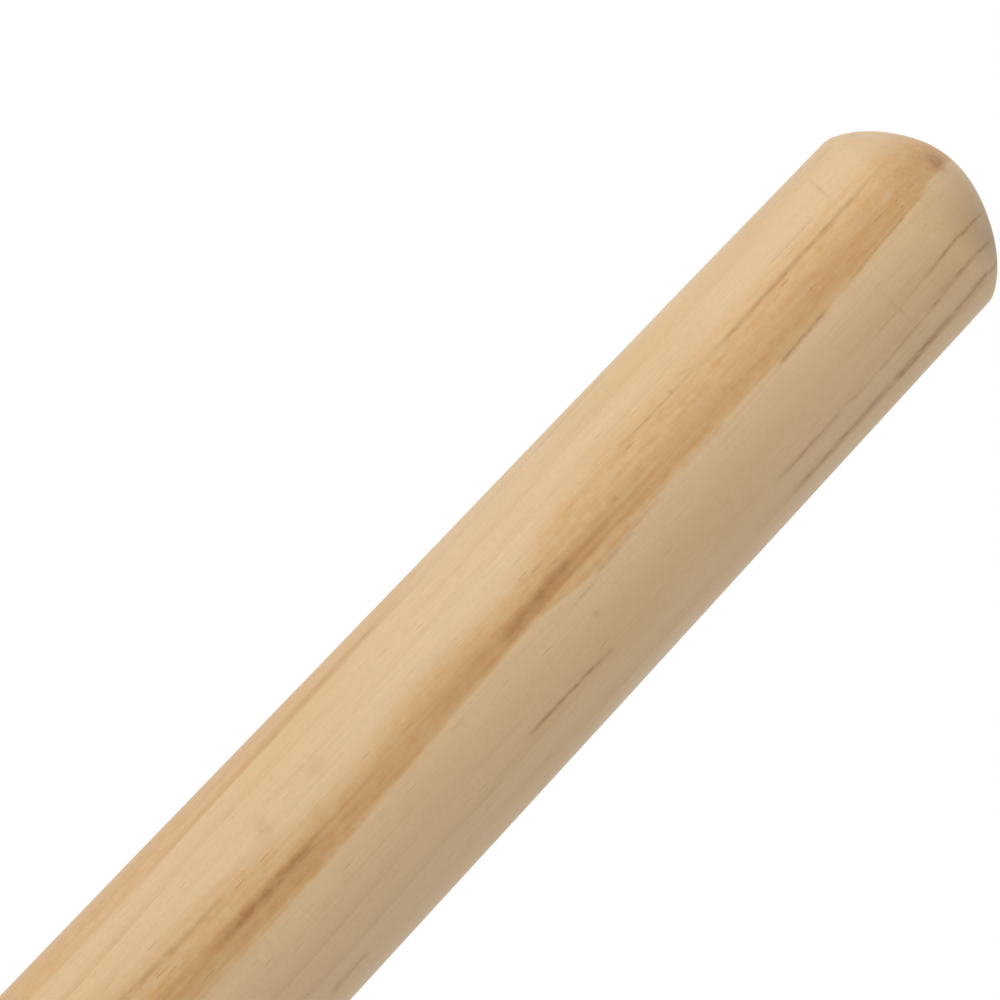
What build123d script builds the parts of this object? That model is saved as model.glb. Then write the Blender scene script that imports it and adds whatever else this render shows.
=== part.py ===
"""A bar muddler turned from one length of hardwood.

A straight round stick with a slight, even taper. The thick end is the foot: a flat face with an eased
edge, pressed down on herbs, fruit and sugar in a glass. The thin end is the grip, closed by a shallow
crown that rolls into the side over a small shoulder, so that it sits in the palm.

Frame: millimetres, +Z up the stick's axis, origin at the centre of the flat foot, which it stands on.
"""

import math
import os

from build123d import *

# Overall
OVERALL_LENGTH = 203.0  # foot face to the top of the crown

# Foot, the working end
FOOT_DIAMETER = 28.5  # of the tapered side, carried down to the foot face
FOOT_EDGE_RADIUS = 1.8  # eased edge between the foot face and the side

# Grip, the end that is held
GRIP_DIAMETER = 23.1  # of the tapered side where the shoulder begins
GRIP_END_RISE = 8.0  # height of the rounded end, from the shoulder's start to the top of the crown
SHOULDER_RADIUS = 3.0  # roll between the side and the crown


def crown_radius():
    """Ball radius of the crown that tops the grip at its rise and meets the shoulder arc smoothly.

    The two arcs share a tangent, so their centres lie the difference of their radii apart. The shoulder
    arc's centre is level with its start and inside the side by its radius, which fixes the crown's.
    """
    inset = GRIP_DIAMETER / 2 - SHOULDER_RADIUS
    return (inset**2 + GRIP_END_RISE**2 - SHOULDER_RADIUS**2) / (2 * (GRIP_END_RISE - SHOULDER_RADIUS))


def on_arc(centre, radius, angle):
    """Point of the XZ plane on an arc, at an angle from the +X direction towards +Z."""
    return centre[0] + radius * math.cos(angle), centre[1] + radius * math.sin(angle)


def turned_body():
    """The whole stick as one solid of revolution, with its foot edge eased last."""
    top = (0, OVERALL_LENGTH)
    foot_corner = (FOOT_DIAMETER / 2, 0)
    shoulder_start = (GRIP_DIAMETER / 2, OVERALL_LENGTH - GRIP_END_RISE)
    shoulder_centre = (shoulder_start[0] - SHOULDER_RADIUS, shoulder_start[1])
    crown_centre = (0, OVERALL_LENGTH - crown_radius())
    join_angle = math.atan2(shoulder_centre[1] - crown_centre[1], shoulder_centre[0])
    join = on_arc(shoulder_centre, SHOULDER_RADIUS, join_angle)
    shoulder_middle = on_arc(shoulder_centre, SHOULDER_RADIUS, join_angle / 2)
    crown_middle = on_arc(crown_centre, crown_radius(), (join_angle + math.pi / 2) / 2)
    with BuildPart() as stick:
        with BuildSketch(Plane.XZ):
            with BuildLine():
                Line((0, 0), foot_corner)
                Line(foot_corner, shoulder_start)
                ThreePointArc(shoulder_start, shoulder_middle, join)
                ThreePointArc(join, crown_middle, top)
                Line(top, (0, 0))
            make_face()
        revolve(axis=Axis.Z)
        foot_edge = stick.edges().filter_by(GeomType.CIRCLE).sort_by(Axis.Z)[0]
        fillet(foot_edge, FOOT_EDGE_RADIUS)
    return stick.part


os.makedirs("parts", exist_ok=True)
export_step(turned_body(), "parts/turned_body.step")
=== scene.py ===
"""Looks of a bar muddler: one turned stick of lacquered hardwood, in a plain studio.

Lengths are in metres in the stick's frame: +Z up its axis from the centre of the flat foot, with the brown
heartwood facing -Y. The wood's figure is laid out in millimetres, on that same frame.
"""

import math

import bpy
import numpy as np
from mathutils import Matrix, Vector


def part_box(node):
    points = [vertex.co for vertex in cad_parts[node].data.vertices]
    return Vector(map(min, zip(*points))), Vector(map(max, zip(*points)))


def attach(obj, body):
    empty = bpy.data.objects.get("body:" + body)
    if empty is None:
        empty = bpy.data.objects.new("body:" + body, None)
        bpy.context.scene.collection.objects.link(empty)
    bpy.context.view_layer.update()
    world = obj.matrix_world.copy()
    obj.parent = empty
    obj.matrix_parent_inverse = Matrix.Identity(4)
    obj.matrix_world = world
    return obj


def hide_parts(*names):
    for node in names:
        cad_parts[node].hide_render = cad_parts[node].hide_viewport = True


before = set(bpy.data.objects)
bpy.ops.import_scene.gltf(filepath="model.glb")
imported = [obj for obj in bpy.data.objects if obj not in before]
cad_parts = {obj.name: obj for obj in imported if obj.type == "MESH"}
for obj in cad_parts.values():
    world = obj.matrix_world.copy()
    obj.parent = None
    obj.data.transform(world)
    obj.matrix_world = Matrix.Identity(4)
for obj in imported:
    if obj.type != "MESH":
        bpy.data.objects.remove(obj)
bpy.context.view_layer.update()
STICK_LOW, STICK_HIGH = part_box("turned_body")

bl_info = {
    "name": "Bar muddler",
    "version": (1, 0, 0),
    "blender": (4, 5, 0),
    "location": "3D View > Sidebar > Muddler",
    "description": "A turned hardwood muddler with its grain, lacquer and studio",
    "category": "Add Mesh",
}

MM = 0.001  # one millimetre, in metres

# ---------------------------------------------------------------------------------------------------------
# The wood's figure, all in millimetres. Heights are up the stick and sides are along +X,
# where the figure meets the surface: on the face turned to +Y for the back lines, and to -Y for all else.
# ---------------------------------------------------------------------------------------------------------

# Broad streak of heartwood: height, left side, right side
HEARTWOOD = (
    (203, -6.2, -0.9), (187, -6.7, -0.15), (168, -6.7, 0.2), (156, -6.8, 0.5), (147, -5.6, 1.15),
    (139, -3.8, 0.45), (128, -4.1, 0.65), (112, -3.0, 1.4), (96, -5.2, 1.7), (84, -5.4, 1.8),
    (60, -3.8, 1.2), (38, -4.6, 2.2), (16, -3.9, 3.2), (0, -3.2, 3.0),
)
# Darker core inside it: height, left side, right side, depth of colour
CORE = (
    (203, -3.8, -1.2, 0.4), (187, -3.9, -0.5, 0.42), (168, -2.9, -0.3, 0.42), (154, -2.7, -0.1, 0.5),
    (145, -2.1, -0.3, 1.0), (138, -1.8, 0.0, 0.8), (128, -2.1, 0.4, 0.58), (112, -1.8, 0.9, 0.52),
    (98, -1.5, 1.1, 0.6), (84, -1.4, 1.3, 0.6), (60, -0.8, 1.0, 0.5), (38, -0.9, 1.9, 0.7),
    (16, 0.3, 2.8, 0.6), (0, 0.2, 2.6, 0.6),
)
# Orange-brown wood along the left edge: height, right side
LEFT_EDGE = (
    (203, -14.0), (152, -12.9), (142, -11.6), (125, -10.9), (100, -10.75), (76, -10.7), (40, -10.9),
    (0, -11.4),
)
# Thin dark lines: upper side, upper height, lower side, lower height, half width, depth of colour
FRONT_LINES = (
    (-5.6, 197, -5.3, 171, 0.22, 0.36), (-5.55, 169.5, -5.7, 158, 0.16, 0.25),
    (-0.75, 200, -0.1, 186, 0.15, 0.26), (0.05, 183.5, 0.4, 175.5, 0.19, 0.6),
    (0.4, 168, 0.55, 161, 0.12, 0.22), (0.75, 158, 1.0, 153, 0.15, 0.28),
    (1.1, 154, 1.35, 147.5, 0.19, 0.28), (1.7, 148.5, 1.9, 143.5, 0.15, 0.18),
    (-1.6, 147.5, -1.2, 141.5, 0.8, 0.3), (-1.2, 143.5, -0.7, 136.5, 0.6, 0.38),
    (-0.95, 111, -0.8, 94, 0.5, 0.42), (-3.7, 100.5, -4.0, 70, 0.42, 0.3),
    (4.9, 201.5, 5.15, 191.5, 0.15, 0.44), (5.2, 192, 5.4, 184, 0.14, 0.2),
    (7.4, 200.5, 7.75, 189, 0.18, 0.38), (7.7, 190, 8.1, 176, 0.16, 0.24),
    (8.1, 177, 8.3, 167, 0.2, 0.36), (9.45, 199.5, 9.7, 191, 0.16, 0.42),
    (9.7, 192, 9.95, 182, 0.2, 0.52), (9.9, 183, 10.2, 167, 0.18, 0.42),
    (7.6, 144, 7.65, 131, 0.2, 0.48), (10.65, 105, 10.8, 99, 0.18, 0.3),
    (-7.15, 189, -7.1, 182, 0.12, 0.18), (-11.2, 134, -11.0, 110, 0.33, 0.14),
    (-0.5, 66, 0.6, 34, 0.3, 0.42), (8.0, 58, 8.5, 31, 0.17, 0.4), (5.1, 28, 5.3, 9, 0.15, 0.34),
    (1.2, 30, 1.9, 4, 0.35, 0.36),
)
BACK_LINES = (
    (-5.0, 196, -4.4, 168, 0.15, 0.45), (-0.6, 182, 0.3, 150, 0.2, 0.6), (3.6, 199, 3.9, 181, 0.12, 0.4),
    (6.3, 166, 6.6, 139, 0.15, 0.5), (-1.5, 138, -0.9, 112, 0.28, 0.6), (8.6, 120, 8.9, 98, 0.16, 0.5),
    (-3.0, 92, -2.2, 58, 0.3, 0.55), (4.4, 74, 4.9, 40, 0.14, 0.45), (0.9, 48, 1.8, 12, 0.25, 0.6),
    (-7.6, 62, -7.0, 30, 0.13, 0.35),
)
# Small marks on the front, the last one painted shade: side, height, half width, half height, depth of colour
MARKS_AND_PAINTED_SHADE = (
    (4.1, 145.2, 0.38, 0.3, 0.32), (-8.7, 191.4, 1.6, 0.2, 0.2), (5.3, 188.0, 2.0, 0.14, 0.16),
    (-5.6, 166.3, 0.35, 0.25, 0.45), (-5.4, 182.9, 0.2, 0.4, 0.5), (-2.35, 154.8, 0.3, 0.35, 0.3),
    (-2.0, 201.5, 1.2, 0.8, 0.6), (-5.8, 114.8, 0.8, 1.1, 0.18), (-5.4, 106.7, 1.0, 1.0, 0.2),
    # Painted shade: the left edge made darker below the crown, where the light falls off, put on as a mark
    (-11.2, 191.0, 1.1, 9.0, 0.15),
)

PITH_DISTANCE = 75.0  # from the stick's axis to the centre of the tree, towards -X
GRAIN_SLOPE = 0.02  # sideways drift of the growth layers, towards +X on the way down
RING_SPACING = 2.2  # from one growth layer to the next


# ---------------------------------------------------------------------------------------------------------
# Settings
# ---------------------------------------------------------------------------------------------------------


def length_setting(name, description, default):
    return bpy.props.FloatProperty(
        name=name, description=description, default=default, unit="LENGTH", subtype="DISTANCE", precision=5
    )


def share_setting(name, description, default):
    return bpy.props.FloatProperty(
        name=name, description=description, default=default, min=0.0, max=1.0, subtype="FACTOR"
    )


def colour_setting(name, description, default):
    return bpy.props.FloatVectorProperty(
        name=name, description=description, default=default, size=3, min=0.0, max=1.0, subtype="COLOR"
    )


class MUDDLER_PG_stick(bpy.types.PropertyGroup):
    """Sizes of the turned stick."""

    length: length_setting("Length", "Foot face to the top of the crown", STICK_HIGH.z - STICK_LOW.z)
    foot_diameter: length_setting("Foot diameter", "Tapered side, carried down to the foot", 28.5 * MM)
    foot_edge: length_setting("Foot edge", "Radius of the eased edge round the foot", 1.8 * MM)
    grip_diameter: length_setting("Grip diameter", "Tapered side where the shoulder begins", 23.1 * MM)
    end_rise: length_setting("End rise", "Shoulder's start to the top of the crown", 8.0 * MM)
    shoulder: length_setting("Shoulder", "Radius of the roll between side and crown", 3.0 * MM)
    crown_offset: length_setting("Crown offset", "How far the top leans off the axis, to -X", 0.7 * MM)
    crown_flat: length_setting("Crown flat", "Most that the crown dips under its arc", 0.22 * MM)
    unevenness: length_setting("Unevenness", "Height of the waves that hand sanding leaves", 0.03 * MM)


class MUDDLER_PG_finish(bpy.types.PropertyGroup):
    """Colours of the wood and the feel of its lacquer."""

    sapwood: colour_setting("Sapwood", "Pale wood between the growth lines", (0.70, 0.492, 0.28))
    warm_sapwood: colour_setting("Warm sapwood", "Yellower patches in the pale wood", (0.66, 0.44, 0.205))
    latewood: colour_setting("Latewood", "Thin edge of each growth layer", (0.50, 0.31, 0.145))
    heartwood: colour_setting("Heartwood", "Broad reddish streak", (0.61, 0.34, 0.132))
    core: colour_setting("Core", "Darker middle of the heartwood", (0.45, 0.215, 0.070))
    stain: colour_setting("Stain", "Tint of the thin mineral lines and cut vessels", (0.45, 0.27, 0.10))
    roughness: share_setting("Roughness", "Satin of the sealed wood under the lacquer", 0.5)
    lacquer: share_setting("Lacquer", "How much of a clear coat lies on the wood", 0.15)
    lacquer_roughness: share_setting("Lacquer roughness", "Satin of the clear coat itself", 0.35)
    sheen_level: share_setting("Sheen level", "Strength of the sealed wood's own reflection", 0.3)


class MUDDLER_PG_stage(bpy.types.PropertyGroup):
    """Floor, lamps and camera."""

    floor_radius: length_setting("Floor radius", "Radius of the round floor", 1.2)
    floor_colour: colour_setting("Floor colour", "Pale floor near the stick", (0.86, 0.86, 0.855))
    ambient: share_setting("Ambient", "Brightness of the soft light from all round", 0.56)
    key_power: bpy.props.FloatProperty(
        name="Key power", description="Large soft lamp at the left", default=3.8, min=0.0, unit="POWER"
    )
    fill_power: bpy.props.FloatProperty(
        name="Fill power", description="Faint soft lamp at the right", default=0.27, min=0.0, unit="POWER"
    )
    frame_width: length_setting("Frame width", "Width of the picture at the stick", 100.8 * MM)
    camera_distance: length_setting("Camera distance", "Camera to the stick's axis", 1.2)
    drop: length_setting("Drop", "Top of the crown down to the picture's centre", 56.2 * MM)
    side: length_setting("Side", "Stick's axis to the picture's centre, to -X", 10.67 * MM)
    tilt: bpy.props.FloatProperty(
        name="Tilt", description="Lean of the stick in the picture, from level", default=math.radians(46.79),
        subtype="ANGLE",
    )


# ---------------------------------------------------------------------------------------------------------
# Shape of the stick
# ---------------------------------------------------------------------------------------------------------

COLUMNS = 224  # points round the stick
SIDE_RINGS = 330  # rings up the tapered side
FOOT_RINGS = 16  # rings across the foot face
EDGE_RINGS = 12  # rings round the eased foot edge
SHOULDER_RINGS = 10  # rings round the roll between side and crown
CROWN_RINGS = 30  # rings up the crown

# Small dents from use: direction round the stick in degrees, height, radius and depth in millimetres
DENTS = (
    (205, 9.0, 1.5, 0.10), (322, 5.5, 1.1, 0.12), (78, 13.0, 1.8, 0.08), (140, 4.0, 1.2, 0.12),
    (20, 24.0, 1.3, 0.07), (255, 31.0, 1.6, 0.06), (300, 62.0, 1.4, 0.05), (110, 88.0, 1.5, 0.05),
    (175, 121.0, 1.2, 0.04), (48, 158.0, 1.4, 0.05),
)


def smooth_step(values, low, high):
    """Goes from 0 at low to 1 at high, as 3t^2 - 2t^3."""
    t = np.clip((values - low) / (high - low), 0.0, 1.0)
    return t * t * (3.0 - 2.0 * t)


def arc(centre, radius, start, end, count):
    """Radii and heights on a circle round centre, at even angles from start to end, the start left out."""
    angles = np.linspace(start, end, count + 1)[1:]
    return centre[0] + radius * np.cos(angles), centre[1] + radius * np.sin(angles)


def stick_outline(stick):
    """Radius, height and share of end grain at each ring, from the foot's centre to the crown's.

    The outline is a level run, the foot edge's arc, the straight tapered side, the shoulder's arc and the
    crown's arc, each meeting the next along its tangent. The crown dips a little under its arc, most at
    0.6 of the way out, as t^3 (1 - t)^2. End grain is the square of the normal's Z part.
    """
    foot, grip = stick.foot_diameter / 2, stick.grip_diameter / 2
    shoulder_z = stick.length - stick.end_rise
    taper = math.atan2(foot - grip, shoulder_z)
    edge_centre = (foot - stick.foot_edge * (math.tan(taper) + 1 / math.cos(taper)), stick.foot_edge)
    inset = grip - stick.shoulder
    crown = (inset**2 + stick.end_rise**2 - stick.shoulder**2) / (2 * (stick.end_rise - stick.shoulder))
    crown_z = stick.length - crown
    join = math.atan2(shoulder_z - crown_z, inset)
    face = np.linspace(0.0, edge_centre[0], FOOT_RINGS + 1), np.zeros(FOOT_RINGS + 1)
    edge = arc(edge_centre, stick.foot_edge, -math.pi / 2, taper, EDGE_RINGS)
    climb = np.linspace(0.0, 1.0, SIDE_RINGS + 1)[1:]
    side = edge[0][-1] + (grip - edge[0][-1]) * climb, edge[1][-1] + (shoulder_z - edge[1][-1]) * climb
    roll = arc((inset, shoulder_z), stick.shoulder, taper, join, SHOULDER_RINGS)
    top = arc((0.0, crown_z), crown, join, math.pi / 2, CROWN_RINGS)
    out = top[0] / roll[0][-1]
    greatest = 0.6**3 * 0.4**2  # of t^3 (1 - t)^2, which it reaches at t = 0.6
    top = top[0], top[1] - stick.crown_flat * out**3 * (1 - out) ** 2 / greatest
    radius, height = (np.concatenate(runs) for runs in zip(face, edge, side, roll, top))
    radius[-1] = 0.0
    across, up = np.gradient(radius), np.gradient(height)
    return radius, height, across**2 / (across**2 + up**2)


def dents(angle, height, radius):
    """Depth of the small dents: each is a round dip, deepest at its centre, that falls as exp(-d^2)."""
    depth = np.zeros(np.broadcast(angle, height).shape)
    for direction, level, spread, deep in DENTS:
        turn = (angle - math.radians(direction) + math.pi) % (2 * math.pi) - math.pi
        distance = np.hypot(turn * radius, height - level * MM) / (spread * MM)
        depth += deep * MM * np.exp(-(distance**2))
    return depth


def stick_grid(stick, outline):
    """Points of the turned surface as a function of ring and angle, with its end grain and dents.

    A point is at its ring's radius and height. Hand sanding adds two slow waves that run round and up the
    stick and the dents are taken off. The crown leans off the axis by its offset times the mean of t and
    t^4, where t is the share of its rise.
    """
    radius, height, end_grain = (row[:, None] for row in outline)
    angle = np.linspace(0.0, 2 * math.pi, COLUMNS, endpoint=False)[None, :]
    oval = np.sin(2 * angle + height / (23 * MM)) + 0.6 * np.sin(3 * angle - height / (11 * MM) + 1.0)
    on_side = smooth_step(radius, 0.0, 6 * MM) * (1 - end_grain)
    dip = dents(angle, height, radius) * (1 - end_grain)
    reach = radius + stick.unevenness * oval * on_side - dip
    climbed = np.clip(1 - (stick.length - height) / stick.end_rise, 0.0, 1.0)
    lean = stick.crown_offset * (climbed + climbed**4) / 2
    x, y = reach * np.cos(angle) - lean, reach * np.sin(angle)
    points = np.stack([x, y, np.broadcast_to(height, x.shape)], axis=-1)
    return points, np.broadcast_to(end_grain, x.shape), dip


def ring_faces(rings):
    """Quads between neighbouring rings, and a fan of triangles to the single point at each end.

    Points are numbered ring by ring after the first point, and the last point closes the top. Corners run
    anticlockwise seen from outside.
    """
    row, column = np.meshgrid(np.arange(rings - 1), np.arange(COLUMNS), indexing="ij")
    here, beside = 1 + row * COLUMNS + column, 1 + row * COLUMNS + (column + 1) % COLUMNS
    quads = np.stack([here, beside, beside + COLUMNS, here + COLUMNS], axis=-1).reshape(-1, 4)
    column = np.arange(COLUMNS)
    first, after = 1 + column, 1 + (column + 1) % COLUMNS
    last = (rings - 1) * COLUMNS
    bottom = np.stack([np.zeros_like(first), after, first], axis=-1)
    top = np.stack([first + last, after + last, np.full_like(first, 1 + rings * COLUMNS)], axis=-1)
    return bottom, quads, top


def bake_map(outline):
    """Corner places on the unit square, in the order of ring_faces.

    The side is one upright strip, as wide as the turn round the stick and as tall as the outline is long.
    The foot face and the crown are discs beside it, seen from below and from above.
    """
    radius, height, end_grain = outline
    walk = np.concatenate([[0.0], np.cumsum(np.hypot(np.diff(radius), np.diff(height)))])
    steep = end_grain < 0.5
    first, last = np.argmax(steep), len(steep) - np.argmax(steep[::-1]) - 1
    margin, strip, disc = 0.006, 0.81, 0.085  # gap at the border, the strip's width and a disc's radius
    foot_v, crown_v = 0.15, 0.85  # how far up the discs' centres are

    def corner(ring, column):
        upright = (walk[ring] - walk[first - 1]) / (walk[last + 1] - walk[first - 1])
        u, v = margin + strip * column / COLUMNS, margin + (1 - 2 * margin) * upright
        turn = 2 * math.pi * column / COLUMNS
        reach = disc * radius[ring] / radius.max()
        flat_u = 1 - margin - disc + reach * np.cos(turn)
        flat_v = np.where(ring <= first, foot_v, crown_v) + reach * np.sin(turn)
        return u, v, flat_u, flat_v

    def place(rings, columns):
        u, v, flat_u, flat_v = corner(rings, columns)
        on_side = ((rings.min(axis=1) >= first - 1) & (rings.max(axis=1) <= last + 1))[:, None]
        return np.stack([np.where(on_side, u, flat_u), np.where(on_side, v, flat_v)], axis=-1).reshape(-1, 2)

    column = np.arange(COLUMNS)
    low, high = np.ones_like(column), np.full_like(column, len(radius) - 2)
    row, across = np.meshgrid(np.arange(1, len(radius) - 2), column, indexing="ij")
    quads = (np.stack([row, row, row + 1, row + 1], axis=-1).reshape(-1, 4),
             np.stack([across, across + 1, across + 1, across], axis=-1).reshape(-1, 4))
    bottom = (np.stack([0 * low, low, low], axis=-1), np.stack([column, column + 1, column], axis=-1))
    top = (np.stack([high, high, high + 1], axis=-1), np.stack([column, column + 1, column], axis=-1))
    return np.concatenate([place(*bottom), place(*quads), place(*top)])


def stick_mesh(stick):
    """The whole stick as one closed mesh, with its bake map and the attributes that its finish reads."""
    outline = stick_outline(stick)
    grid, end_grain, dip = stick_grid(stick, outline)
    inner = slice(1, -1)
    points = np.concatenate([grid[:1, 0], grid[inner].reshape(-1, 3), grid[-1:, 0]])
    bottom, quads, top = ring_faces(len(grid) - 2)
    mesh = bpy.data.meshes.new("turned_stick")
    mesh.from_pydata(points.tolist(), [], bottom.tolist() + quads.tolist() + top.tolist())
    mesh.polygons.foreach_set("use_smooth", np.ones(len(mesh.polygons), dtype=bool))
    mesh.uv_layers.new(name="OFBake").data.foreach_set("uv", bake_map(outline).ravel())
    for name, values in (("end_grain", end_grain), ("dent", dip / (0.1 * MM))):
        flat = np.concatenate([values[:1, 0], values[inner].ravel(), values[-1:, 0]])
        mesh.attributes.new(name, "FLOAT", "POINT").data.foreach_set("value", flat.astype(np.float32))
    mesh.validate()
    mesh.update()
    return mesh


# ---------------------------------------------------------------------------------------------------------
# Wiring of materials
# ---------------------------------------------------------------------------------------------------------


class Wiring:
    """Adds nodes to one tree. An input that is given a socket is linked, and any other value is set."""

    def __init__(self, tree):
        self.tree = tree

    def node(self, kind, inputs=(), **settings):
        made = self.tree.nodes.new(kind)
        for name, value in settings.items():
            setattr(made, name, value)
        for name, value in dict(inputs).items():
            self.feed(made.inputs[name], value)
        return made

    def feed(self, socket, value):
        if isinstance(value, bpy.types.NodeSocket):
            self.tree.links.new(value, socket)
        else:
            socket.default_value = value

    def math(self, operation, *values, clamp=False):
        return self.node("ShaderNodeMath", enumerate(values), operation=operation, use_clamp=clamp).outputs[0]

    def vector(self, operation, *values):
        return self.node("ShaderNodeVectorMath", enumerate(values), operation=operation)

    def step(self, value, low, high, start=0.0, end=1.0):
        """Goes smoothly from start, where value is low, to end, where it is high."""
        inputs = {"Value": value, "From Min": low, "From Max": high, "To Min": start, "To Max": end}
        return self.node("ShaderNodeMapRange", inputs, interpolation_type="SMOOTHSTEP").outputs[0]

    def blend(self, factor, under, over, how="MIX"):
        """Colour over laid on colour under, by factor."""
        inputs = {0: factor, 6: under, 7: over}
        return self.node("ShaderNodeMix", inputs, data_type="RGBA", blend_type=how).outputs[2]

    def noise(self, position, cell, detail=2.0):
        """Noise from about 0 to 1 with cells of that size along X, Y and Z, in the position's unit."""
        scaled = self.vector("DIVIDE", position, cell).outputs[0]
        inputs = {"Vector": scaled, "Scale": 1.0, "Detail": detail, "Roughness": 0.55}
        return self.node("ShaderNodeTexNoise", inputs).outputs[0]

    def group(self, tree, **inputs):
        made = self.node("ShaderNodeGroup", node_tree=tree)
        for name, value in inputs.items():
            self.feed(made.inputs[name], value)
        return made.outputs[0]


def shader_group(name, inputs, output):
    """A new shader node group with those sockets, as (name, kind) pairs, its wiring and its inputs."""
    tree = bpy.data.node_groups.new(name, "ShaderNodeTree")
    for socket, kind in inputs:
        tree.interface.new_socket(socket, in_out="INPUT", socket_type="NodeSocket" + kind)
    tree.interface.new_socket(output[0], in_out="OUTPUT", socket_type="NodeSocket" + output[1])
    wiring = Wiring(tree)
    return tree, wiring, wiring.node("NodeGroupInput").outputs


def put_out(wiring, value):
    """Links value to the group's output."""
    wiring.feed(wiring.node("NodeGroupOutput").inputs[0], value)


def growth_layers():
    """Group: how far a point is across the growth layers, in millimetres, and 0 on the axis at the top.

    It is the distance from the tree's pith, less the pith's distance from the axis, plus a slow wave.
    """
    tree, w, given = shader_group("growth_layers", [("Position", "Vector"), ("Length", "Float")],
                                  ("Growth", "Float"))
    x, y, z = w.node("ShaderNodeSeparateXYZ", {0: given["Position"]}).outputs
    drift = w.math("MULTIPLY", w.math("SUBTRACT", given["Length"], z), GRAIN_SLOPE)
    from_pith = w.math("ADD", w.math("SUBTRACT", x, drift), PITH_DISTANCE)
    flat = w.node("ShaderNodeCombineXYZ", {"X": from_pith, "Y": y})
    distance = w.math("SUBTRACT", w.vector("LENGTH", flat.outputs[0]).outputs["Value"], PITH_DISTANCE)
    wave = w.math("SUBTRACT", w.noise(given["Position"], (9.0, 9.0, 38.0)), 0.5)
    put_out(w, w.math("MULTIPLY_ADD", wave, 0.7, distance))
    return tree


def lane():
    """Group: 1 between two growth layers and 0 outside them, with a soft edge on each side."""
    names = ("Growth", "Left", "Right", "Left Softness", "Right Softness")
    tree, w, given = shader_group("lane", [(name, "Float") for name in names], ("Mask", "Float"))
    past_left = w.math("DIVIDE", w.math("SUBTRACT", given["Growth"], given["Left"]), given["Left Softness"])
    to_right = w.math("DIVIDE", w.math("SUBTRACT", given["Right"], given["Growth"]), given["Right Softness"])
    put_out(w, w.math("MULTIPLY", w.step(past_left, -0.5, 0.5), w.step(to_right, -0.5, 0.5)))
    return tree


def thin_line():
    """Group: a thin dark line that follows the growth layers, laid over the lines before it.

    The line runs straight between its ends, falls off sideways as exp(-d^2) and fades at both ends.
    """
    names = ("Before", "Growth", "Height", "Upper", "Upper Height", "Lower", "Lower Height", "Half Width",
             "Depth")
    tree, w, given = shader_group("thin_line", [(name, "Float") for name in names], ("Mask", "Float"))
    run = w.math("SUBTRACT", given["Upper Height"], given["Lower Height"])
    along = w.math("DIVIDE", w.math("SUBTRACT", given["Height"], given["Lower Height"]), run)
    middle = w.math("MULTIPLY_ADD", w.math("SUBTRACT", given["Upper"], given["Lower"]), along, given["Lower"])
    off = w.math("DIVIDE", w.math("SUBTRACT", given["Growth"], middle), given["Half Width"])
    across = w.math("EXPONENT", w.math("MULTIPLY", w.math("MULTIPLY", off, off), -1.0))
    ends = w.math("MULTIPLY", w.step(along, -0.06, 0.2), w.step(along, 1.06, 0.8))
    own = w.math("MULTIPLY", w.math("MULTIPLY", across, ends), given["Depth"])
    put_out(w, w.math("MAXIMUM", own, given["Before"]))
    return tree


def mark():
    """Group: a small round or oval mark, or a patch of painted shade, laid over the marks before it."""
    inputs = [("Before", "Float"), ("Position", "Vector"), ("Centre", "Vector"), ("Half Size", "Vector"),
              ("Depth", "Float")]
    tree, w, given = shader_group("mark", inputs, ("Mask", "Float"))
    off = w.vector("DIVIDE", w.vector("SUBTRACT", given["Position"], given["Centre"]).outputs[0],
                   given["Half Size"]).outputs[0]
    squared = w.vector("DOT_PRODUCT", off, off).outputs["Value"]
    round_mark = w.math("MULTIPLY", w.math("EXPONENT", w.math("MULTIPLY", squared, -1.0)), given["Depth"])
    put_out(w, w.math("MAXIMUM", round_mark, given["Before"]))
    return tree


def vessels():
    """Group: short dark dashes along the grain where vessels are cut, and dots where they end.

    Points are scattered in cells that are long up the stick, and a dash is what lies close to its point.
    """
    inputs = [("Position", "Vector"), ("Spacing", "Vector"), ("Share", "Float"), ("Size", "Float")]
    tree, w, given = shader_group("vessels", inputs, ("Mask", "Float"))
    scaled = w.vector("DIVIDE", given["Position"], given["Spacing"]).outputs[0]
    cells = w.node("ShaderNodeTexVoronoi", {"Vector": scaled, "Scale": 1.0})
    inside = w.step(w.math("DIVIDE", cells.outputs["Distance"], given["Size"]), 1.0, 0.45)
    chance = w.node("ShaderNodeSeparateColor", {0: cells.outputs["Color"]}).outputs[0]
    put_out(w, w.math("MULTIPLY", inside, w.math("LESS_THAN", chance, given["Share"])))
    return tree


# ---------------------------------------------------------------------------------------------------------
# Lacquered hardwood
# ---------------------------------------------------------------------------------------------------------


def outline_radius(stick, height):
    """Radius in millimetres of the side, shoulder or crown at a height in millimetres."""
    radius, level, _ = stick_outline(stick)
    above_foot = slice(FOOT_RINGS, None)
    return float(np.interp(height, level[above_foot] / MM, radius[above_foot] / MM))


def depth_at(stick, side, height):
    """Distance in millimetres from the XZ plane to the surface at that side and height."""
    return math.sqrt(max(outline_radius(stick, height) ** 2 - side**2, 0.0))


def layer_at(stick, side, height):
    """Growth layer that shows on the front or back at that side and height: growth_layers, less its wave."""
    drift = GRAIN_SLOPE * (stick.length / MM - height)
    return math.hypot(side - drift + PITH_DISTANCE, depth_at(stick, side, height)) - PITH_DISTANCE


def height_curve(w, height, stick, points, low, high):
    """A value that follows given (height, value) points up the stick, smoothly, from low to high."""
    share = w.math("DIVIDE", height, stick.length / MM, clamp=True)
    curve = w.node("ShaderNodeFloatCurve", {"Value": share})
    line = curve.mapping.curves[0]
    scaled = sorted((level * MM / stick.length, (value - low) / (high - low)) for level, value in points)
    for _ in range(len(scaled) - 2):
        line.points.new(0.5, 0.5)
    for point, place in zip(line.points, scaled):
        point.location = place
    curve.mapping.update()
    return w.math("MULTIPLY_ADD", curve.outputs[0], high - low, low)


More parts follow.
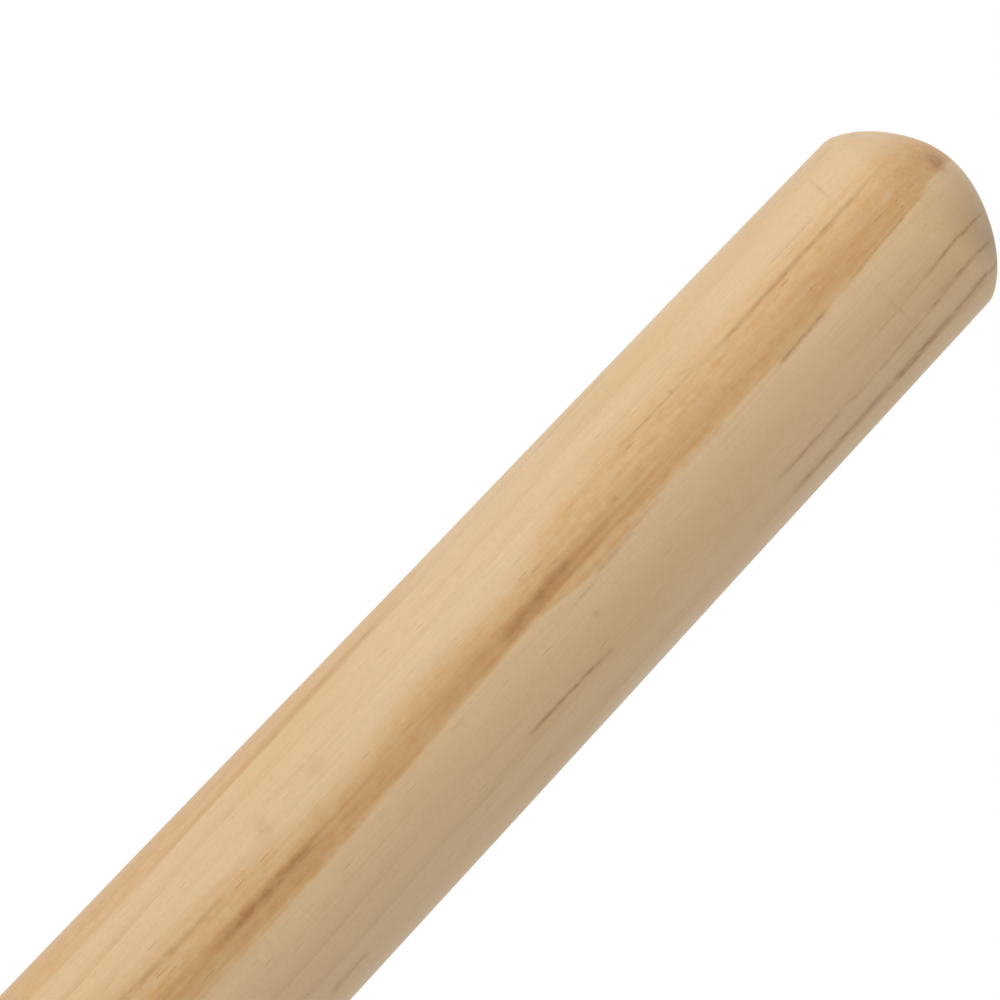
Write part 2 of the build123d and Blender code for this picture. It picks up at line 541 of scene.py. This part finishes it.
def layer_curve(w, height, stick, points):
    """The growth layer of an edge that is given as (height, side) points on the front."""
    layers = [(level, layer_at(stick, side, level)) for level, side in points]
    return height_curve(w, height, stick, layers, low=-18.0, high=6.0)


def dark_lines(w, stick, group, growth, height, lines):
    """Mask of all the thin lines in one list."""
    mask = 0.0
    for upper, upper_height, lower, lower_height, half_width, depth in lines:
        mask = w.group(group, **{
            "Before": mask, "Growth": growth, "Height": height, "Half Width": half_width, "Depth": depth,
            "Upper": layer_at(stick, upper, upper_height), "Upper Height": upper_height,
            "Lower": layer_at(stick, lower, lower_height), "Lower Height": lower_height,
        })
    return mask


def marks_and_painted_shade(w, stick, position):
    """Mask of the small marks on the front, and of one tall patch of painted shade at the left edge below the
    crown.
    """
    group, mask = mark(), 0.0
    half_depth = 3.0  # how far a mark goes into the wood
    for side, height, half_width, half_height, depth in MARKS_AND_PAINTED_SHADE:
        centre = (side, -depth_at(stick, side, height), height)
        mask = w.group(group, **{"Before": mask, "Position": position, "Centre": centre, "Depth": depth,
                                 "Half Size": (half_width, half_depth, half_height)})
    return mask


def growth_lines(w, position, growth):
    """Thin latewood edges of the growth layers, plainer on the two sides that are cut along the layers."""
    wander = w.noise(position, (14.0, 14.0, 55.0))
    phase = w.math("FRACT", w.math("MULTIPLY_ADD", wander, 0.8, w.math("DIVIDE", growth, RING_SPACING)))
    edge = w.math("MULTIPLY", w.step(phase, 0.45, 0.93), w.step(phase, 1.0, 0.93))
    strength = w.step(w.noise(position, (5.0, 6.0, 42.0)), 0.38, 0.66)
    outer = w.math("MAXIMUM", w.step(growth, 0.0, 12.0, 0.12, 0.42), w.step(growth, -7.0, -11.5, 0.12, 0.42))
    return w.math("MULTIPLY", w.math("MULTIPLY", edge, strength), outer)


def hardwood_colour(w, stick, finish, position, end_grain, dent):
    """The wood's colour, and the vessels and fibres that its relief repeats.

    Streaks run aslant from front to back, so each point takes them from another height on the front.
    """
    x, y, z = w.node("ShaderNodeSeparateXYZ", {0: position}).outputs
    growth = w.group(growth_layers(), Position=position, Length=stick.length / MM)
    ragged = w.math("SUBTRACT", w.noise(position, (0.9, 0.9, 7.0), 3.0), 0.5)
    growth_edge = w.math("MULTIPLY_ADD", ragged, 0.45, growth)
    slant, at_axis = 1.3, 14.0  # climb for each millimetre towards +Y, and the climb on the axis
    front_height = w.math("ADD", z, w.math("MULTIPLY_ADD", y, slant, at_axis))
    lane_group = lane()
    outside = -60.0  # a growth layer well past the stick's left side
    # Greyish tint of the soaked end grain, also used as painted shade on the crown towards +X
    soak_and_shade_tint = (0.62, 0.57, 0.51)

    def colour(value):
        return (*value, 1.0)

    def in_lane(left, right, soft_left, soft_right):
        return w.group(lane_group, **{"Growth": growth_edge, "Left": left, "Right": right,
                                      "Left Softness": soft_left, "Right Softness": soft_right})

    patches = w.step(w.noise(position, (6.0, 6.0, 30.0)), 0.4, 0.72)
    wood = w.blend(w.math("MULTIPLY", patches, 0.45), colour(finish.sapwood), colour(finish.warm_sapwood))
    wood = w.blend(growth_lines(w, position, growth), wood, colour(finish.latewood))

    left = layer_curve(w, front_height, stick, [(level, left) for level, left, _ in HEARTWOOD])
    right = layer_curve(w, front_height, stick, [(level, right) for level, _, right in HEARTWOOD])
    heart = in_lane(left, right, 3.1, 0.5)
    left_strip = in_lane(outside, layer_curve(w, front_height, stick, LEFT_EDGE), 1.0, 0.45)
    mottle = w.step(w.noise(position, (0.8, 0.8, 1.8), 3.0), 0.3, 0.72, 0.55, 1.0)
    streaky = w.step(w.noise(position, (0.8, 6.0, 26.0)), 0.3, 0.68, 0.66, 1.0)
    uneven = w.math("MULTIPLY", mottle, streaky)
    wood = w.blend(w.math("MULTIPLY", heart, uneven), wood, colour(finish.heartwood))
    left_strip = w.math("MULTIPLY", w.math("MULTIPLY", left_strip, uneven), 0.78)
    wood = w.blend(left_strip, wood, colour(finish.heartwood))

    left = layer_curve(w, front_height, stick, [(level, left) for level, left, _, _ in CORE])
    right = layer_curve(w, front_height, stick, [(level, right) for level, _, right, _ in CORE])
    depths = [(level, value) for level, _, _, value in CORE]
    depth = height_curve(w, front_height, stick, depths, low=0.0, high=1.0)
    core = w.math("MULTIPLY", in_lane(left, right, 1.6, 0.7), depth)
    core = w.math("MULTIPLY", w.math("MULTIPLY", core, streaky), 0.75)
    wood = w.blend(core, wood, colour(finish.core))

    line_group = thin_line()
    front = dark_lines(w, stick, line_group, growth_edge, z, FRONT_LINES)
    back = dark_lines(w, stick, line_group, growth_edge, z, BACK_LINES)
    front = w.math("MULTIPLY", front, w.step(y, 3.0, -2.0))
    back = w.math("MULTIPLY", back, w.step(y, -3.0, 2.0))
    # The marks' mask includes a patch of painted shade, which is darkened with the stain colour below
    lines = w.math("MAXIMUM", w.math("MAXIMUM", front, back), marks_and_painted_shade(w, stick, position))
    beads = w.step(w.noise(position, (0.6, 0.6, 1.2)), 0.32, 0.68, 0.6, 1.25)
    wood = w.blend(w.math("MULTIPLY", lines, beads, clamp=True), wood, colour(finish.stain), "MULTIPLY")

    fibres = w.noise(position, (0.16, 0.16, 9.0), 3.0)
    flecks = w.noise(position, (2.4, 0.35, 0.6), 2.0)
    fine = w.math("ADD", w.step(fibres, 0.25, 0.75, 0.962, 1.032), w.step(flecks, 0.3, 0.7, -0.018, 0.018))
    wood = w.blend(1.0, wood, w.node("ShaderNodeCombineColor", {0: fine, 1: fine, 2: fine}).outputs[0],
                   "MULTIPLY")
    pores = w.group(vessels(), Position=position, Spacing=(0.5, 0.5, 6.5), Share=0.5, Size=0.17)
    pore_depth = w.math("MULTIPLY_ADD", heart, 0.16, 0.2)
    wood = w.blend(w.math("MULTIPLY", pores, pore_depth), wood, colour(finish.stain), "MULTIPLY")

    # End grain is darker where the finish soaks in, and half as much at the foot. On the crown this darkening
    # lies only towards +X, the side turned from the key lamp, so there it is painted shade as well as soaked
    # end grain.
    soak_and_painted_shade = w.math("MAXIMUM", w.step(x, -2.0, 10.0), w.step(z, 12.0, 4.0, 0.0, 0.5))
    soak_and_painted_shade = w.math("MULTIPLY", w.step(end_grain, 0.15, 0.7), soak_and_painted_shade)
    wood = w.blend(soak_and_painted_shade, wood, w.blend(1.0, wood, colour(soak_and_shade_tint), "MULTIPLY"))
    wood = w.blend(w.math("MULTIPLY", dent, 0.12, clamp=True), wood, colour(finish.core))
    return wood, pores, fibres


def lacquered_hardwood(stick, finish):
    """Pale hardwood with a heartwood streak, sealed and sprayed with a clear satin lacquer."""
    material = bpy.data.materials.new("lacquered_hardwood")
    material.use_nodes = True
    w = Wiring(material.node_tree)
    shader = material.node_tree.nodes["Principled BSDF"]
    place = w.node("ShaderNodeTexCoord").outputs["Object"]
    position = w.node("ShaderNodeVectorMath", {0: place, "Scale": 1 / MM}, operation="SCALE").outputs[0]
    end_grain = w.node("ShaderNodeAttribute", attribute_name="end_grain").outputs["Fac"]
    dent = w.node("ShaderNodeAttribute", attribute_name="dent").outputs["Fac"]
    wood, pores, fibres = hardwood_colour(w, stick, finish, position, end_grain, dent)
    w.feed(shader.inputs["Base Color"], wood)

    smears = w.step(w.noise(position, (5.0, 5.0, 12.0), 3.0), 0.3, 0.7, -0.04, 0.04)
    roughness = w.math("ADD", w.math("MULTIPLY_ADD", end_grain, 0.08, finish.roughness), smears)
    w.feed(shader.inputs["Roughness"], w.math("MULTIPLY_ADD", pores, 0.1, roughness))
    w.feed(shader.inputs["Specular IOR Level"], finish.sheen_level)
    w.feed(shader.inputs["Coat Weight"], finish.lacquer)
    w.feed(shader.inputs["Coat Roughness"], finish.lacquer_roughness)

    skin = w.noise(position, (0.9, 0.9, 1.1), 2.0)
    turning = w.noise(position, (40.0, 40.0, 0.35), 2.0)
    relief = w.math("MULTIPLY_ADD", fibres, 0.35, w.math("MULTIPLY", pores, -0.6))
    relief = w.math("ADD", relief, w.math("MULTIPLY_ADD", skin, 0.5, w.math("MULTIPLY", turning, 0.15)))
    bump = w.node("ShaderNodeBump", {"Height": relief, "Strength": 0.35, "Distance": 0.04 * MM})
    w.feed(shader.inputs["Normal"], bump.outputs[0])
    return material


# ---------------------------------------------------------------------------------------------------------
# Studio
# ---------------------------------------------------------------------------------------------------------

# Place of each lamp's centre, and the side of its square
KEY_LAMP = ((-0.64, -0.50, 0.40), 0.76)
FILL_LAMP = ((0.80, 0.10, 0.20), 0.36)

# Distances from the stick's axis between which the floor goes over to the backdrop's white
FLOOR_NEAR, FLOOR_FAR = 0.05, 0.26


def seen_directly(w):
    """1 for camera rays and for what gloss and glass show, 0 for light that falls on things."""
    rays = w.node("ShaderNodeLightPath").outputs
    mirrored = w.math("MAXIMUM", rays["Is Glossy Ray"], rays["Is Transmission Ray"])
    return w.math("MAXIMUM", rays["Is Camera Ray"], mirrored)


def floor_finish(stage):
    """Pale matt floor round the stick, that goes over to the white of the backdrop further out."""
    material = bpy.data.materials.new("pale_floor")
    material.use_nodes = True
    w = Wiring(material.node_tree)
    nodes = material.node_tree.nodes
    w.feed(nodes["Principled BSDF"].inputs["Base Color"], (*stage.floor_colour, 1.0))
    w.feed(nodes["Principled BSDF"].inputs["Roughness"], 0.8)
    out = w.vector("LENGTH", w.node("ShaderNodeTexCoord").outputs["Object"]).outputs["Value"]
    far = w.step(out, FLOOR_NEAR, FLOOR_FAR)
    glow = w.node("ShaderNodeEmission", {"Strength": 1.0})
    mixed = w.node("ShaderNodeMixShader", {0: w.math("MULTIPLY", far, seen_directly(w)),
                                           1: nodes["Principled BSDF"].outputs[0], 2: glow.outputs[0]})
    w.feed(nodes["Material Output"].inputs["Surface"], mixed.outputs[0])
    return material


def floor_mesh(radius):
    """A flat disc, as rings of points at even angles whose radii grow as the square of the ring's share."""
    turns, rings = 96, 12
    angle = np.linspace(0, 2 * math.pi, turns, endpoint=False)
    reach = radius * np.linspace(0, 1, rings + 1)[1:] ** 2
    ring = np.stack([np.outer(reach, np.cos(angle)), np.outer(reach, np.sin(angle))], axis=-1).reshape(-1, 2)
    points = np.concatenate([np.zeros((1, 3)), np.c_[ring, np.zeros(len(ring))]])
    row, column = np.meshgrid(np.arange(rings - 1), np.arange(turns), indexing="ij")
    here, beside = 1 + row * turns + column, 1 + row * turns + (column + 1) % turns
    quads = np.stack([here, here + turns, beside + turns, beside], axis=-1).reshape(-1, 4)
    first = np.arange(turns)
    middle = np.stack([0 * first, 1 + first, 1 + (first + 1) % turns], axis=-1)
    mesh = bpy.data.meshes.new("floor")
    mesh.from_pydata(points.tolist(), [], middle.tolist() + quads.tolist())
    return mesh


def add_lamp(name, place, size, aim, power):
    """A square soft lamp at place, turned to face aim."""
    data = bpy.data.lights.new(name, "AREA")
    data.shape, data.size, data.energy = "SQUARE", size, power
    lamp = bpy.data.objects.new(name, data)
    lamp.location = place
    lamp.rotation_mode = "QUATERNION"
    lamp.rotation_quaternion = (Vector(aim) - Vector(place)).to_track_quat("-Z", "Y")
    bpy.context.scene.collection.objects.link(lamp)


def soft_world(stage):
    """Even pale light from all round, which shows as plain white."""
    world = bpy.data.worlds.new("soft_studio")
    world.use_nodes = True
    w = Wiring(world.node_tree)
    nodes = world.node_tree.nodes
    w.feed(nodes["Background"].inputs["Color"], (1.0, 1.0, 1.0, 1.0))
    w.feed(nodes["Background"].inputs["Strength"], stage.ambient)
    white = w.node("ShaderNodeBackground", {"Color": (1.0, 1.0, 1.0, 1.0), "Strength": 1.0})
    mixed = w.node("ShaderNodeMixShader", {0: seen_directly(w), 1: nodes["Background"].outputs[0],
                                           2: white.outputs[0]})
    w.feed(nodes["World Output"].inputs["Surface"], mixed.outputs[0])
    return world


def add_camera(stage):
    """A long lens level with the picture's centre, looking along +Y and rolled so that the stick leans."""
    data = bpy.data.cameras.new("camera")
    data.sensor_width = 36.0
    data.lens = data.sensor_width * stage.camera_distance / stage.frame_width
    camera = bpy.data.objects.new("camera", data)
    right = Vector((math.sin(stage.tilt), 0.0, math.cos(stage.tilt)))
    up = Vector((-math.cos(stage.tilt), 0.0, math.sin(stage.tilt)))
    turn = Matrix((right, up, right.cross(up))).transposed()
    place = Vector((-stage.side, -stage.camera_distance, STICK_HIGH.z - stage.drop))
    camera.matrix_world = Matrix.Translation(place) @ turn.to_4x4()
    bpy.context.scene.collection.objects.link(camera)
    bpy.context.scene.camera = camera


# ---------------------------------------------------------------------------------------------------------
# Operators and panel
# ---------------------------------------------------------------------------------------------------------


class MUDDLER_OT_turned_stick(bpy.types.Operator):
    """Add the turned, lacquered stick"""

    bl_idname = "muddler.turned_stick"
    bl_label = "Turned Stick"
    bl_options = {"REGISTER", "UNDO"}

    def execute(self, context):
        scene = context.scene
        stick = bpy.data.objects.new("turned_stick", stick_mesh(scene.muddler_stick))
        scene.collection.objects.link(stick)
        stick.data.materials.append(lacquered_hardwood(scene.muddler_stick, scene.muddler_finish))
        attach(stick, "root")
        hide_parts("turned_body")
        return {"FINISHED"}


class MUDDLER_OT_stage(bpy.types.Operator):
    """Add the floor, the soft light and the camera"""

    bl_idname = "muddler.stage"
    bl_label = "Studio"
    bl_options = {"REGISTER", "UNDO"}

    def execute(self, context):
        scene, stage = context.scene, context.scene.muddler_stage
        floor = bpy.data.objects.new("floor", floor_mesh(stage.floor_radius))
        floor.data.materials.append(floor_finish(stage))
        scene.collection.objects.link(floor)
        middle = (STICK_LOW + STICK_HIGH) / 2
        add_lamp("key_lamp", *KEY_LAMP, middle, stage.key_power)
        add_lamp("fill_lamp", *FILL_LAMP, middle, stage.fill_power)
        scene.world = soft_world(stage)
        scene.view_settings.view_transform = "Standard"
        add_camera(stage)
        return {"FINISHED"}


class MUDDLER_PT_panel(bpy.types.Panel):
    """Settings of the muddler and buttons that build it"""

    bl_label = "Bar Muddler"
    bl_idname = "MUDDLER_PT_panel"
    bl_space_type = "VIEW_3D"
    bl_region_type = "UI"
    bl_category = "Muddler"

    def draw(self, context):
        scene = context.scene
        for title, settings, operator in (
            ("Stick", scene.muddler_stick, None),
            ("Finish", scene.muddler_finish, MUDDLER_OT_turned_stick),
            ("Studio", scene.muddler_stage, MUDDLER_OT_stage),
        ):
            box = self.layout.box()
            box.label(text=title)
            for name in settings.__annotations__:
                box.prop(settings, name)
            if operator:
                box.operator(operator.bl_idname)


CLASSES = (
    MUDDLER_PG_stick,
    MUDDLER_PG_finish,
    MUDDLER_PG_stage,
    MUDDLER_OT_turned_stick,
    MUDDLER_OT_stage,
    MUDDLER_PT_panel,
)


def register():
    for kind in CLASSES:
        bpy.utils.register_class(kind)
    bpy.types.Scene.muddler_stick = bpy.props.PointerProperty(type=MUDDLER_PG_stick)
    bpy.types.Scene.muddler_finish = bpy.props.PointerProperty(type=MUDDLER_PG_finish)
    bpy.types.Scene.muddler_stage = bpy.props.PointerProperty(type=MUDDLER_PG_stage)


def unregister():
    del bpy.types.Scene.muddler_stick, bpy.types.Scene.muddler_finish, bpy.types.Scene.muddler_stage
    for kind in reversed(CLASSES):
        bpy.utils.unregister_class(kind)


def main():
    """Builds the muddler and its studio."""
    register()
    bpy.ops.muddler.turned_stick()
    bpy.ops.muddler.stage()


if __name__ == "__main__":
    main()
